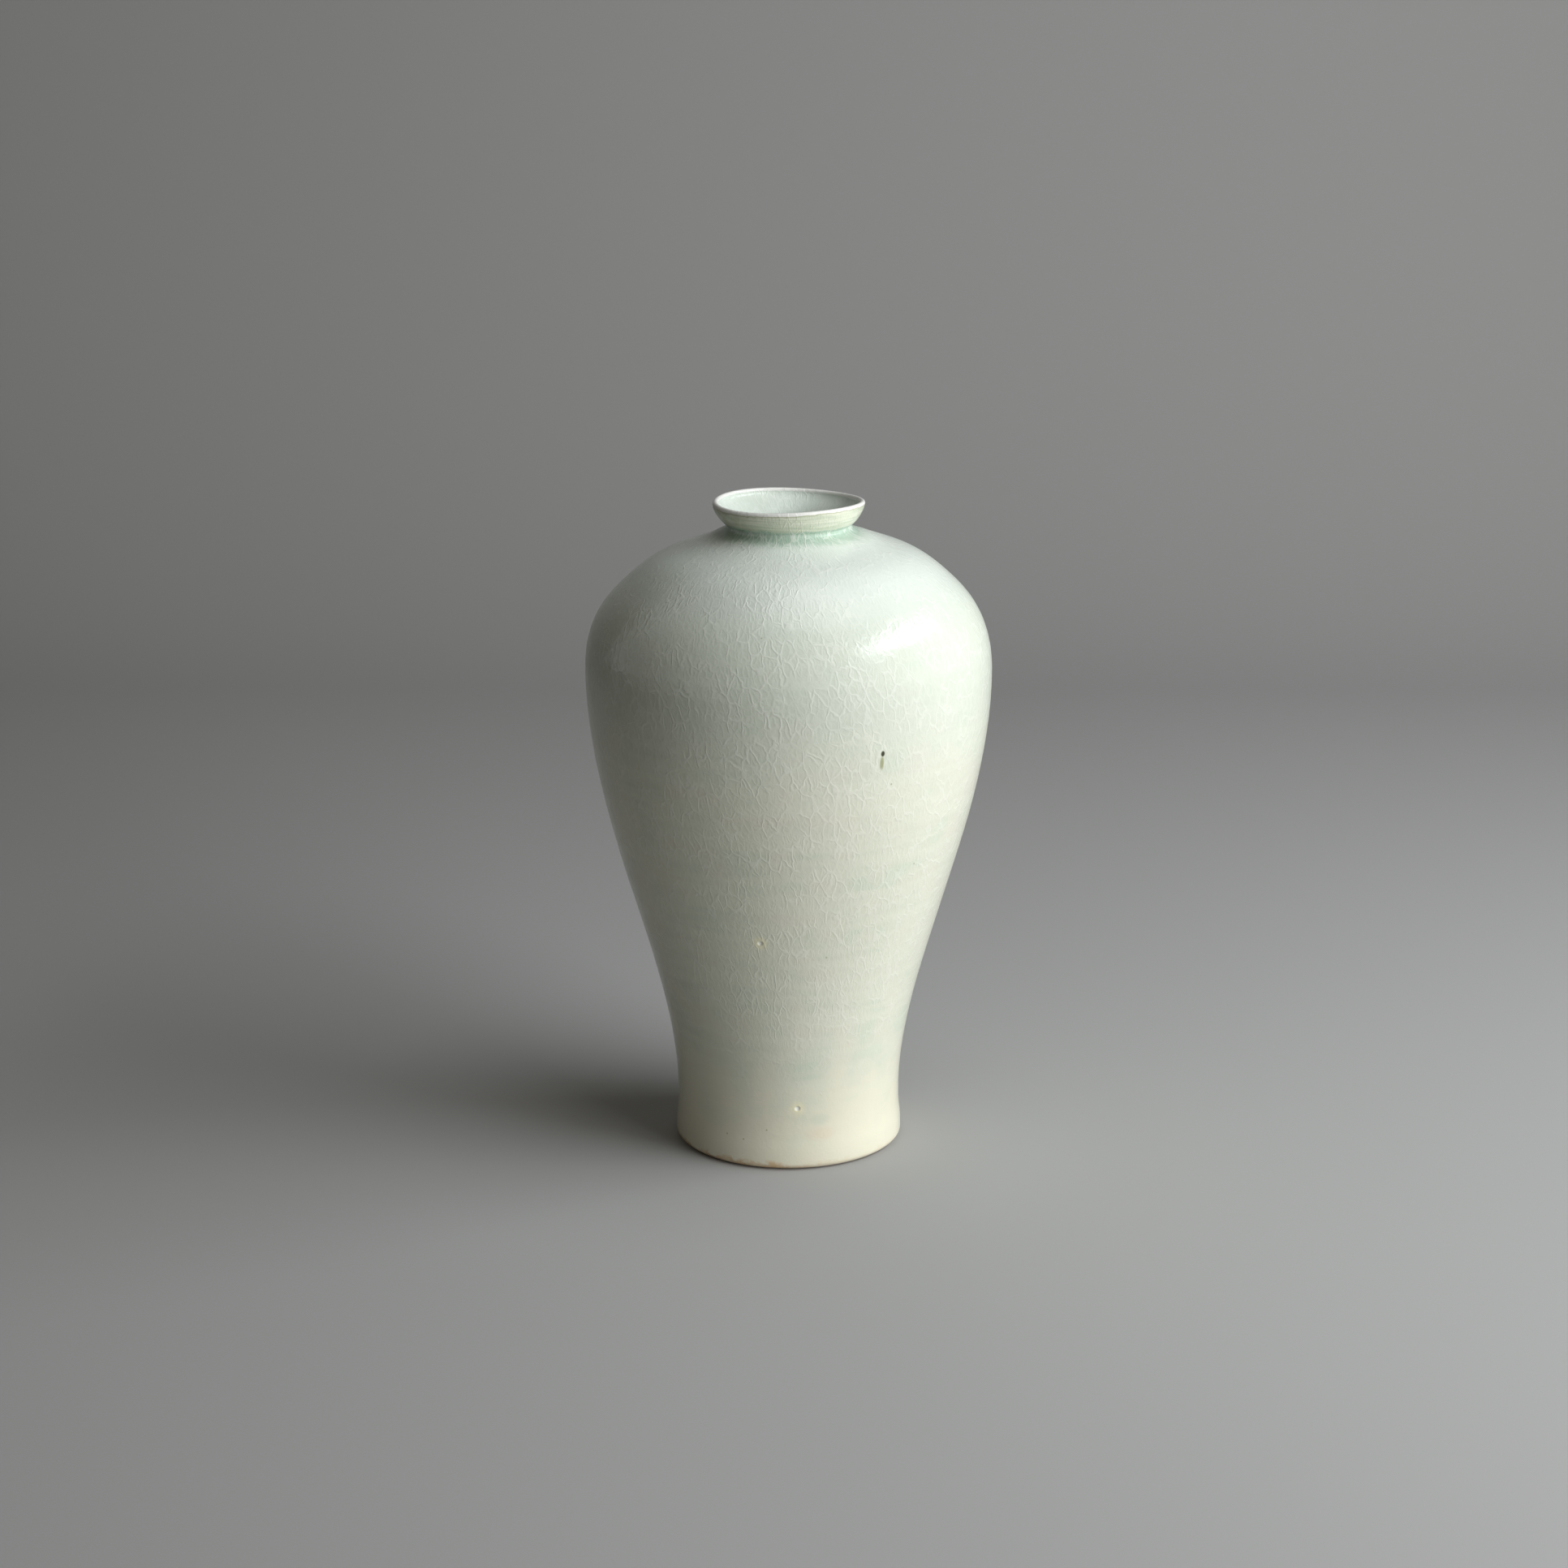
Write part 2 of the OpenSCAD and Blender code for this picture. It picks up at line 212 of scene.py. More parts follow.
lower_glazed = chain(
    sink(foot_run, 0, THIN_GLAZE), sink(foot_flare_run, THIN_GLAZE, GLAZE), sink(belly_run, GLAZE),
    sink(shoulder_low_run, GLAZE))
lower_outside = chain(sink(stroke(foot_edge, 6, 0, BARE_SHARE)), lower_glazed)
upper_outside = chain(sink(shoulder_high_run, GLAZE), sink(crown_run, GLAZE))
coil_outside = sink(root_run, GLAZE, POOL)
mouth_outside = chain(
    sink(corner_run, POOL), sink(flare_low_run, POOL, CLIMB), sink(flare_high_run, CLIMB, THIN_GLAZE),
    sink(lip_outer_run, THIN_GLAZE), sink(lip_inner_run, THIN_GLAZE))
glazed_clay = chain(lower_glazed, upper_outside, coil_outside, mouth_outside)
print("points on the clay:", len(glazed_clay))

# %% [markdown]
# ## The inside
# The wall is thick at the floor and thin at the shoulder, as a thrower leaves it. A soft coil is pressed
# over the joint of the two body sections. The lining glaze is poured in and out again, so it covers it all.

# %% Curves of the inside, from the floor to the lip
low_depth, high_depth = GLAZE + WALL_LOW, GLAZE + WALL_HIGH
coil_from, coil_to = SEAM_IN - COIL_REACH, SEAM_IN + COIL_REACH
wall_run = stroke(belly, 60, FLOOR_SHARE)
below_coil_run = stroke(shoulder, 2, 0, coil_from)
coil_low_run = stroke(shoulder, 10, coil_from, SEAM_IN)
coil_high_run = stroke(shoulder, 10, SEAM_IN, coil_to)
above_coil_run = stroke(shoulder, 24, coil_to)
inner_crown_run = stroke(crown, 24)

wall_start, wall_normal, _ = wall_run[0]
wall_foot = wall_start - wall_normal * (low_depth + THIN_GLAZE)
wall_down = Vector((wall_normal.y, -wall_normal.x))
throat_foot = ROOT - Vector((math.sin(ROOT_SLOPE), math.cos(ROOT_SLOPE))) * (high_depth + THIN_GLAZE)
floor = mm(*[(FLOOR_FLAT * third / 3, FLOOR_Z) for third in range(4)])
floor_curve = [
    floor[-1], floor[-1] + Vector((FLOOR_PULL, 0)), wall_foot + wall_down * FLOOR_PULL, wall_foot]
throat = [
    throat_foot, throat_foot - root_out * THROAT_LOW_PULL, THROAT - Vector((0, THROAT_HIGH_PULL)), THROAT]
dish = [THROAT, THROAT + Vector((0, DISH_LOW_PULL)), lip_back - Vector((0, DISH_HIGH_PULL)), lip_back]

floor_run = stroke(floor, 6)
floor_curve_run = stroke(floor_curve, 18)
throat_low_run = stroke(throat, 12, 0, SEAT_IN)
throat_high_run = stroke(throat, 6, SEAT_IN)
dish_run = stroke(dish, 30)


# %% Stretches of the inside
# A stretch is the clay's surface where the coat is 0, and the lining's where it is the glaze's thickness.
def below_coil(coat):
    return chain(
        sink(floor_run, coat - THIN_GLAZE), sink(floor_curve_run, coat - THIN_GLAZE),
        sink(wall_run, low_depth + coat, high_depth + coat), sink(below_coil_run, high_depth + coat))


def over_coil(coat):
    face = []
    for run in (coil_low_run, coil_high_run):
        swell = [COIL_H * math.sin(math.pi / 2 * (u - coil_from) / COIL_REACH) ** 2 for p, n, u in run]
        face.append([p - n * (high_depth + coat + h) for (p, n, u), h in zip(run, swell)])
    return chain(*face)


def above_coil(coat):
    return chain(
        sink(above_coil_run, high_depth + coat), sink(inner_crown_run, high_depth + coat),
        sink(throat_low_run, coat - THIN_GLAZE))


def in_mouth(coat):
    return chain(sink(throat_high_run, coat - THIN_GLAZE), sink(dish_run, coat - THIN_GLAZE))


# %% The clay's inner surface, the coil over the joint and the inner coat
lower_inside = chain(below_coil(0), sink(coil_low_run, high_depth))
upper_inside = chain(sink(coil_high_run, high_depth), above_coil(0))
mouth_inside = in_mouth(0)
coil_wall = chain(sink(coil_low_run, high_depth), sink(coil_high_run, high_depth))
coil_face = over_coil(0)
lined_clay = chain(below_coil(0), coil_face, above_coil(0), mouth_inside)
lining = chain(below_coil(THIN_GLAZE), over_coil(THIN_GLAZE), above_coil(THIN_GLAZE), in_mouth(THIN_GLAZE))
print("points on the inside:", len(lining))

# %% The recess under the foot, and the neck's seat
RECESS_TURN = ((4, RECESS_H), (1.6, RECESS_H), (0.9, 3), (0.6, 1.8))
SEAT_FROM_NECK, SEAT_UNDER_ROOT = 1.7, 0.1

ring_in = REST_R - RING_W
recess_run = stroke(mm(*[(ring_in - back, height) for back, height in RECESS_TURN]), 12)
recess_clay = [Vector((0, RECESS_H))] + sink(recess_run)
recess_glaze = [Vector((0, RECESS_H - THIN_GLAZE))] + sink(recess_run, -THIN_GLAZE, 0)
ring_corner = Vector((ring_in, 0))
seat_outer = Vector((NECK.x - SEAT_FROM_NECK, ROOT.y - SEAT_UNDER_ROOT))
print("points in the recess:", len(recess_clay))

# %% [markdown]
# ## What the wheel and the kiln did
# A turned solid is perfectly round, and a fired pot isn't. The shoulder of this one leans down a little on
# the left, the rim rose at the right front and sank at the left front, and throwing left faint rings. One
# function moves every point of every piece in the same way, so clay and glaze stay in contact.

# %% How far the fired pot is off the round, in millimetres
RIM_WARP, RIM_HEIGHTS = 0.6, (290.0, 299.0)
SHOULDER_LEAN, LEAN_HEIGHTS, LEAN_RADII = 0.6, (238.0, 262.0), (30.5, 38.0)
WALL_BEGINS, WALL_ENDS = (6.0, 40.0), (276.0, 287.0)
JOINT_RING = (234.8, 1.6, 0.06)
# A wave is given as its size, how often it goes round, the rise that turns it by one radian, and its start.
WAVES = ((1, 1, 31, 0.6), (1, 2, -23, 2.1), (1, 3, 17, 4.4), (0.6, 1, 8.3, 0), (0.5, 5, -12, 1.2))
WAVE_DEPTH = 0.05
# The fingers leave a spiral, and their grip comes and goes.
THROWING_STEP, THROWING_DEPTH = 7.5, 0.022
GRIP, GRIP_SWING, GRIP_SLOW, GRIP_FAST, GRIP_START = 0.55, 0.45, 13, 5.1, 0.8
ON_AXIS = 0.001
print("rim moves by", RIM_WARP, "mm and shoulder by", SHOULDER_LEAN, "mm")


# %% Move the points of the turned form to their places on the fired pot
def rise(value, start, end):
    t = np.clip((value - start) / (end - start), 0.0, 1.0)
    return t * t * (3 - 2 * t)


def sway(z, turn):
    uneven = sum(size * np.sin(count * turn + z / length + start) for size, count, length, start in WAVES)
    grip = GRIP + GRIP_SWING * np.sin(z / GRIP_SLOW + GRIP_START) * np.sin(z / GRIP_FAST + 2 * turn)
    spiral = grip * np.sin(2 * np.pi * z / THROWING_STEP + turn)
    ring_z, ring_w, ring_h = JOINT_RING
    ring = ring_h * np.exp(-((z - ring_z) / ring_w) ** 2)
    wall = rise(z, *WALL_BEGINS) * (1 - rise(z, *WALL_ENDS))
    return wall * (WAVE_DEPTH * uneven + THROWING_DEPTH * spiral + ring)


def fired(points):
    x, y, z = points.T
    radius = np.hypot(x, y)
    turn = np.arctan2(x, -y)
    on_axis = radius < ON_AXIS
    safe = np.where(on_axis, 1.0, radius)
    lean = rise(z, *LEAN_HEIGHTS) * rise(radius, *LEAN_RADII)
    height = RIM_WARP * np.sin(2 * turn) * rise(z, *RIM_HEIGHTS) + SHOULDER_LEAN * np.sin(turn) * lean
    height = np.where(on_axis, 0.0, height)
    out = np.where(on_axis, 0.0, sway(z, turn))
    return np.stack([x + x / safe * out, y + y / safe * out, z + height], axis=1)


# %% [markdown]
# ## Turning the pieces
# Every section and coat is turned: its outline is a closed chain of edges in the XZ plane, and spin carries
# it round the axis. A full spin slows down as its mesh grows, so only an eighth is spun, and copied round
# three times. The copies meet in doubles, as do the points on the axis, and these are merged before the
# normals are made to point outwards. Each point also keeps the length of outline drawn before it, in an
# attribute called path, so that the crackle can follow the wall over the shoulder.

# %% Draw an outline as edges
STEPS, OUTER_STEPS = 192, 240
EIGHTHS = 8
EIGHTH = 2 * math.pi / EIGHTHS
WELD = 0.002
SHARP = math.radians(38)


def lengths(outline):
    steps = [(b - a).length for a, b in zip(outline, outline[1:])]
    return [sum(steps[:i]) for i in range(len(outline))]


def drawn(outline):
    mesh = bmesh.new()
    path = mesh.verts.layers.float.new("path")
    ring = [mesh.verts.new((p.x * MM, 0, p.y * MM)) for p in outline]
    for vert, length in zip(ring, lengths(outline)):
        vert[path] = length * MM
    sides = [mesh.edges.new(pair) for pair in zip(ring, ring[1:])]
    if outline[0].x > 0 or outline[-1].x > 0:
        sides.append(mesh.edges.new((ring[-1], ring[0])))
    return mesh, ring + sides


# %% Spin it into a mesh
def spun(outline, steps):
    mesh, edge_ring = drawn(outline)
    bmesh.ops.spin(
        mesh, geom=edge_ring, cent=(0, 0, 0), axis=(0, 0, 1), angle=EIGHTH, steps=steps // EIGHTHS)
    for turn in (EIGHTH, 2 * EIGHTH, 4 * EIGHTH):
        copy = bmesh.ops.duplicate(mesh, geom=mesh.verts[:] + mesh.edges[:] + mesh.faces[:])
        moved = [item for item in copy["geom"] if isinstance(item, bmesh.types.BMVert)]
        bmesh.ops.rotate(mesh, verts=moved, cent=(0, 0, 0), matrix=Matrix.Rotation(turn, 3, "Z"))
    bmesh.ops.remove_doubles(mesh, verts=mesh.verts, dist=WELD * MM)
    bmesh.ops.recalc_face_normals(mesh, faces=mesh.faces)
    return mesh


# %% Make it a piece of the frame
def turned(name, outline, node, steps=STEPS):
    mesh = spun(outline, steps)
    data = bpy.data.meshes.new(name)
    mesh.to_mesh(data)
    mesh.free()
    flat = np.empty(len(data.vertices) * 3)
    data.vertices.foreach_get("co", flat)
    data.vertices.foreach_set("co", (fired(flat.reshape(-1, 3) / MM) * MM).ravel())
    data.update()
    data.shade_smooth()
    data.set_sharp_from_angle(angle=SHARP)
    piece = bpy.data.objects.new(name, data)
    bpy.context.scene.collection.objects.link(piece)
    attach(piece, "root")
    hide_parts(node)
    print(name, "has", sum(len(face.vertices) - 2 for face in data.polygons), "triangles")
    return piece


# %% The clay pieces
lower_outline = recess_clay + [ring_corner] + lower_outside + lower_inside[::-1]
lower = turned("lower_section", lower_outline, "lower_body")
upper_outline = upper_outside + [seat_outer] + upper_inside[::-1]
upper = turned("shoulder_section", upper_outline, "upper_body")
mouth_outline = [seat_outer] + mouth_outside + mouth_inside[::-1]
mouth = turned("neck_collar", mouth_outline, "neck_and_mouth")
body_coil = turned("body_joint_coil", coil_wall + coil_face[-2:0:-1], "body_seam_coil")
neck_coil = turned("neck_joint_coil", coil_outside + [seat_outer], "neck_seam_coil")

# %% The glaze coats
outer_outline = outside + glazed_clay[:0:-1]
outer_coat = turned("outer_coat", outer_outline, "outer_glaze", OUTER_STEPS)
inner_coat = turned("inner_coat", lined_clay + lining[::-1], "inner_glaze")
base_coat = turned("base_coat", recess_clay + recess_glaze[-2::-1], "base_glaze")

# %% [markdown]
# ## Mixing the finishes
# A material is a small recipe of nodes. These helpers add a few nodes and hand back the last output, so
# a recipe below reads like a list of what the potter and the kiln did to the surface. Sizes are given in
# millimetres. A mark's place is two lengths, across from the axis and up from the floor, as it is measured
# on a photograph, and on_wall finds how far in front of the axis the wall stands there. A dab of colour is
# given as its share, its place, the radii where it is full and where it ends, and how much each axis counts.
# A small number draws it out along that axis, and does the same to a noise.


# %% Place a mark, name a colour, dress a piece
def on_wall(place):
    across, height = place
    wall = [point for point in outside if point.y < ROOT.y]
    radius = np.interp(height, [point.y for point in wall], [point.x for point in wall])
    return (across * MM, -math.sqrt(radius ** 2 - across ** 2) * MM, height * MM)


def colour(red, green, blue):
    return (red, green, blue, 1.0)


def dress(piece, material):
    piece.data.materials.clear()
    piece.data.materials.append(material)


# %% Helpers for material recipes
# Most of a noise lies between these two values.
NOISE_LOW, NOISE_HIGH = 0.3, 0.7


class Recipe:
    def __init__(self, name):
        self.material = bpy.data.materials.new(name)
        self.material.use_nodes = True
        self.tree = self.material.node_tree
        self.shader = self.tree.nodes["Principled BSDF"]
        self.place = self.tree.nodes.new("ShaderNodeTexCoord").outputs["Object"]

    # Feed a socket with another node's output or with a plain value.
    def wire(self, source, socket):
        if isinstance(source, bpy.types.NodeSocket):
            self.tree.links.new(source, socket)
        else:
            socket.default_value = source

    def math(self, operation, a, b):
        node = self.tree.nodes.new("ShaderNodeMath")
        node.operation = operation
        self.wire(a, node.inputs[0])
        self.wire(b, node.inputs[1])
        return node.outputs[0]

    def both(self, a, b):
        return self.math("MULTIPLY", a, b)

    def vector(self, operation, *sources):
        node = self.tree.nodes.new("ShaderNodeVectorMath")
        node.operation = operation
        for source, socket in zip(sources, node.inputs):
            self.wire(source, socket)
        return node.outputs["Value" if operation == "LENGTH" else "Vector"]

    def axis(self, name):
        node = self.tree.nodes.new("ShaderNodeSeparateXYZ")
        self.wire(self.place, node.inputs["Vector"])
        return node.outputs[name]

    def attribute(self, name):
        node = self.tree.nodes.new("ShaderNodeAttribute")
        node.attribute_name = name
        return node.outputs["Fac"]

    def noise(self, size, detail=2.0, stretch=(1, 1, 1), output="Fac"):
        node = self.tree.nodes.new("ShaderNodeTexNoise")
        self.wire(self.vector("MULTIPLY", self.place, stretch), node.inputs["Vector"])
        node.inputs["Scale"].default_value = 1 / (size * MM)
        node.inputs["Detail"].default_value = detail
        return node.outputs[output]

    # A smooth step between two borders.
    def band(self, value, low, high, to_low=0.0, to_high=1.0):
        node = self.tree.nodes.new("ShaderNodeMapRange")
        node.interpolation_type = "SMOOTHSTEP"
        self.wire(value, node.inputs["Value"])
        numbers = {"From Min": low, "From Max": high, "To Min": to_low, "To Max": to_high}
        for socket, number in numbers.items():
            node.inputs[socket].default_value = number
        return node.outputs["Result"]

    # Shift a length to and fro with a noise, so that a border isn't straight.
    def wander(self, value, noise, reach):
        shift = self.band(noise, NOISE_LOW, NOISE_HIGH, -reach * MM, reach * MM)
        return self.math("ADD", value, shift)

    def mix(self, share, a, b):
        node = self.tree.nodes.new("ShaderNodeMix")
        node.data_type = "RGBA"
        self.wire(share, node.inputs["Factor"])
        self.wire(a, node.inputs["A"])
        self.wire(b, node.inputs["B"])
        return node.outputs["Result"]

    def bump(self, height, depth, below=None):
        node = self.tree.nodes.new("ShaderNodeBump")
        node.inputs["Distance"].default_value = depth * MM
        self.wire(height, node.inputs["Height"])
        if below is not None:
            self.wire(below, node.inputs["Normal"])
        return node.outputs["Normal"]

    # A round spot on the wall: 1 up to its reach, and 0 beyond its edge.
    def spot(self, centre, reach, edge, stretch=(1, 1, 1)):
        away = self.vector("SUBTRACT", self.place, on_wall(centre))
        far = self.vector("LENGTH", self.vector("MULTIPLY", away, stretch))
        return self.band(far, reach * MM, edge * MM, 1.0, 0.0)

    def dab(self, tone, paint, share, *spot):
        return self.mix(self.both(self.spot(*spot), share), tone, paint)


# %% [markdown]
# ## The crackle
# Glaze shrinks more than the clay under it, so it cools into a net of fine cracks, which catch the light as
# pale raised lines. A cracked net is the set of borders between cells. The cells lie on a ring of one size,
# wound up along the outline, so that they keep their shape on the shoulder as well as on the wall. They are
# drawn out upright, and lean with the twist that throwing gave the wall. Where the pot is narrow, a net on a
# smaller ring takes over. A net is given as the radius of its ring, the width of a cell, the share to which
# heights are squeezed, which draws the cells out, and the width of a line. Lengths are in millimetres.

# %% Sizes of the cracks
TWIST = 1.2
BEND_SIZE, BEND = 3.6, 2.4
BODY_NET = (82, 4.6, 0.55, 0.62)
NECK_NET = (44, 4.4, 0.55, 0.62)
FINE_NET = (82, 2.4, 0.45, 0.50)
FINE_SHARE = 0.4
NARROW_HERE, WIDE_HERE, BORDER_WANDER = 56, 60, 4
PATCH_SIZE, FAINTEST_PATCH = 10, 0.25
print("crackle cells in mm:", [sizes[1] for sizes in (BODY_NET, NECK_NET, FINE_NET)])


# %% Nets of cracks
def wound(r, ring, upright):
    path = r.attribute("path")
    outward = r.vector("NORMALIZE", r.vector("MULTIPLY", r.place, (1, 1, 0)))
    level = r.vector("MULTIPLY", outward, (ring * MM, ring * MM, 0))
    turned_on = r.tree.nodes.new("ShaderNodeVectorRotate")
    turned_on.rotation_type = "Z_AXIS"
    r.wire(level, turned_on.inputs["Vector"])
    r.wire(r.both(path, TWIST), turned_on.inputs["Angle"])
    up = r.tree.nodes.new("ShaderNodeCombineXYZ")
    r.wire(r.both(path, upright), up.inputs["Z"])
    return r.vector("ADD", turned_on.outputs["Vector"], up.outputs["Vector"])


def net(r, sizes, bend):
    ring, cell, upright, line = sizes
    bent = r.vector("MULTIPLY_ADD", bend, (BEND * MM, BEND * MM, BEND * MM), wound(r, ring, upright))
    cells = r.tree.nodes.new("ShaderNodeTexVoronoi")
    cells.feature = "DISTANCE_TO_EDGE"
    r.wire(bent, cells.inputs["Vector"])
    cells.inputs["Scale"].default_value = 1 / (cell * MM)
    return r.band(cells.outputs["Distance"], 0.0, line / cell, 1.0, 0.0)


def crackle(r, cloud):
    bend = r.noise(BEND_SIZE, output="Color")
    radius = r.vector("LENGTH", r.vector("MULTIPLY", r.place, (1, 1, 0)))
    narrow = r.band(r.wander(radius, cloud, BORDER_WANDER), WIDE_HERE * MM, NARROW_HERE * MM)
    on_body = r.both(net(r, BODY_NET, bend), r.math("SUBTRACT", 1.0, narrow))
    coarse = r.math("ADD", on_body, r.both(net(r, NECK_NET, bend), narrow))
    shown = r.band(r.noise(PATCH_SIZE, 1.0), 0.36, 0.56, FAINTEST_PATCH, 1.0)
    fine = r.both(net(r, FINE_NET, bend), FINE_SHARE)
    return r.math("MAXIMUM", r.both(coarse, shown), fine)


# %% [markdown]
# ## The celadon glaze
# Celadon is a pale iron glaze. Where it lies thick, in the corner of the neck, it is deeper green. On the
# dish's underside it ran thin and shows the buff clay and the marks of the wheel, and on the lip it left a
# white line, with a thin dark band of painted shade just under it. Toward the foot it turns warm and
# creamy, and it is also painted lighter there, as painted light on the lower wall. The lowest edge is
# flashed golden. The crown is painted lighter and bluer, a painted sheen, and the shoulder below it darker,
# a painted shade against its strong light. A few iron specks and pinholes came up in the firing, and the
# pinholes' white cores are partly a painted highlight. Each part is mixed in by a small function of its own.
# The white line's place is measured along the outline, so that it follows the warped lip.

# %% Colours of the glaze
GLAZE_COLOUR = colour(0.73, 0.75, 0.63)
GLAZE_GREEN = colour(0.66, 0.71, 0.59)
GLAZE_ROSE = colour(0.73, 0.725, 0.615)
# Painted shade: a darker green laid over the shoulder, where the light is strong. The lining also mixes it
# in as a plain tone.
GLAZE_DARKER_GREEN = colour(0.625, 0.685, 0.61)
# Painted sheen: the crown is lighter and bluer, a painted reflection over the glaze's own colour.
GLAZE_CROWN_PAINTED_SHEEN = colour(0.75, 0.815, 0.76)
GLAZE_CRACK = colour(0.90, 0.91, 0.86)
# The foot's cream is partly the glaze's own warmer tone and partly painted light, lighter so the lower wall
# comes out brighter.
GLAZE_CREAM_AND_PAINTED_LIGHT = colour(0.80, 0.775, 0.63)
GLAZE_PEACH = colour(0.80, 0.66, 0.50)
GLAZE_POOL = colour(0.42, 0.56, 0.46)
GLAZE_THIN = colour(0.60, 0.65, 0.52)
GLAZE_LIP = colour(0.86, 0.86, 0.83)
GLAZE_DISH = colour(0.74, 0.82, 0.75)
FLASH = colour(0.62, 0.42, 0.22)
IRON = colour(0.06, 0.06, 0.035)
# This brown serves the iron specks and the iron spot's run, and also the painted shade under the lip.
IRON_RUN_AND_PAINTED_SHADE = colour(0.30, 0.31, 0.14)
# A pinhole's near-white core is partly its own pale colour and partly a painted highlight on the pit's lit
# wall.
PINHOLE_CORE_AND_HIGHLIGHT = colour(1.0, 1.0, 0.92)
PIN_HALO = colour(0.90, 0.86, 0.60)

# %% Places on the glaze, in millimetres
# Painted shade on the shoulder lies between these heights.
SHOULDER_PAINTED_SHADE_FROM, SHOULDER_PAINTED_SHADE_TO, SHOULDER_PAINTED_SHADE_SHARE = 175, 232, 0.7
# Painted sheen on the crown lies between these heights.
CROWN_PAINTED_SHEEN_FROM, CROWN_PAINTED_SHEEN_TO, CROWN_PAINTED_SHEEN_SHARE = 248, 280, 0.9
# The cream, partly painted light, spreads toward the foot between these heights.
FOOT_FROM, FOOT_TO, FOOT_WANDER = 62, 4, 12
POOL_FROM, POOL_TO = 284.0, 287.0
THIN_FROM, THIN_TO = 290.4, 291.2
FRONT_WANDER, POOL_LINE_SHARE = 0.4, 0.5
LIP_HEIGHT, LIP_WANDER = 298.7, 0.2
# Painted shade: a thin dark band just under the lip's bead.
LIP_PAINTED_SHADE_FROM, LIP_PAINTED_SHADE_TO, LIP_PAINTED_SHADE_SHARE = -0.7, -0.4, 0.4
LIP_LINE_FROM, LIP_LINE_TO = -0.2, 0.1
CRACKS_FROM, CRACKS_TO, FAINT_CRACKS = 30, 85, 0.12
FLASH_FROM, FLASH_TO, FLASH_WANDER = 4.2, 1.8, 1.2
FLASH_SIDE, PLAIN_SIDE, PLAIN_SHARE = -8, 22, 0.2
FLASH_LEAST, FLASH_MOST = 0.35, 0.9
IRON_SPOT = (40.6, 203.9)
IRON_TAIL = (40.2, 199.6)
PINHOLES = ((-12.5, 114.2), (4.1, 29.9))
SPECKS = (
    (-11.5, 254.8), (55.5, 147.7), (16.8, 106.5), (44.5, 189.3),
    (-9.9, 19.1), (-20.5, 13.6), (-28.0, 14.8))
PEACH_SPOT = (14.5, 17.0)
GREEN_SMUDGE = (14.2, 23.9)
# Streaks and wheel marks run level. Each is a noise: its size, its detail and how much each axis counts.
STREAK = (6, 3.0, (0.1, 0.1, 1))
WHEEL = (0.9, 2.0, (0.05, 0.05, 1))
print("the iron spot stands at", [round(length / MM, 1) for length in on_wall(IRON_SPOT)], "mm")


# %% Tones of the wall
# The numbers after a noise are the borders between which one tone gives way to the next.
def wall_tone(r, z, cloud):
    tone = r.mix(r.band(cloud, 0.35, 0.68), GLAZE_ROSE, GLAZE_GREEN)
    tone = r.mix(r.band(r.noise(*STREAK), 0.36, 0.64), tone, GLAZE_COLOUR)
    # Painted shade: the shoulder band is darkened against the strong light on it.
    painted_shade_on_shoulder = r.band(z, SHOULDER_PAINTED_SHADE_FROM * MM, SHOULDER_PAINTED_SHADE_TO * MM)
    tone = r.mix(r.both(painted_shade_on_shoulder, SHOULDER_PAINTED_SHADE_SHARE), tone, GLAZE_DARKER_GREEN)
    # Painted sheen: the crown is lighter and bluer, as a painted reflection of a bright field above.
    painted_sheen_on_crown = r.band(z, CROWN_PAINTED_SHEEN_FROM * MM, CROWN_PAINTED_SHEEN_TO * MM)
    tone = r.mix(r.both(painted_sheen_on_crown, CROWN_PAINTED_SHEEN_SHARE), tone, GLAZE_CROWN_PAINTED_SHEEN)
    # Toward the foot the glaze is cream: partly its own tone, partly painted light that brightens the lower
    # wall.
    uneven = r.wander(z, cloud, FOOT_WANDER)
    tone = r.mix(r.band(uneven, FOOT_FROM * MM, FOOT_TO * MM), tone, GLAZE_CREAM_AND_PAINTED_LIGHT)
    tone = r.dab(tone, GLAZE_POOL, 0.22, GREEN_SMUDGE, 1, 4, (0.6, 0.6, 1))
    return r.dab(tone, GLAZE_PEACH, 0.4, PEACH_SPOT, 1, 5, (0.5, 0.5, 1))


# %% Tones of the neck and the lip
def neck_tone(r, z, tone, cracks):
    front = r.wander(z, r.noise(6), FRONT_WANDER)
    pooled = r.mix(r.both(cracks, POOL_LINE_SHARE), GLAZE_POOL, GLAZE_CRACK)
    tone = r.mix(r.band(front, POOL_FROM * MM, POOL_TO * MM), tone, pooled)
    thin = r.mix(r.band(r.noise(*WHEEL), 0.35, 0.65), GLAZE_THIN, GLAZE_COLOUR)
    return r.mix(r.band(front, THIN_FROM * MM, THIN_TO * MM), tone, thin)


def lip_tone(r, tone):
    lip_at = next(far for point, far in zip(outside, lengths(outside)) if point.y > LIP_HEIGHT)
    along = r.wander(r.attribute("path"), r.noise(4), LIP_WANDER)
    # Painted shade: a thin band just under the lip is darkened with the iron-run colour.
    painted_shade_under_lip = r.band(along, (lip_at + LIP_PAINTED_SHADE_FROM) * MM, (lip_at + LIP_PAINTED_SHADE_TO) * MM)
    tone = r.mix(r.both(painted_shade_under_lip, LIP_PAINTED_SHADE_SHARE), tone, IRON_RUN_AND_PAINTED_SHADE)
    return r.mix(r.band(along, (lip_at + LIP_LINE_FROM) * MM, (lip_at + LIP_LINE_TO) * MM), tone, GLAZE_LIP)


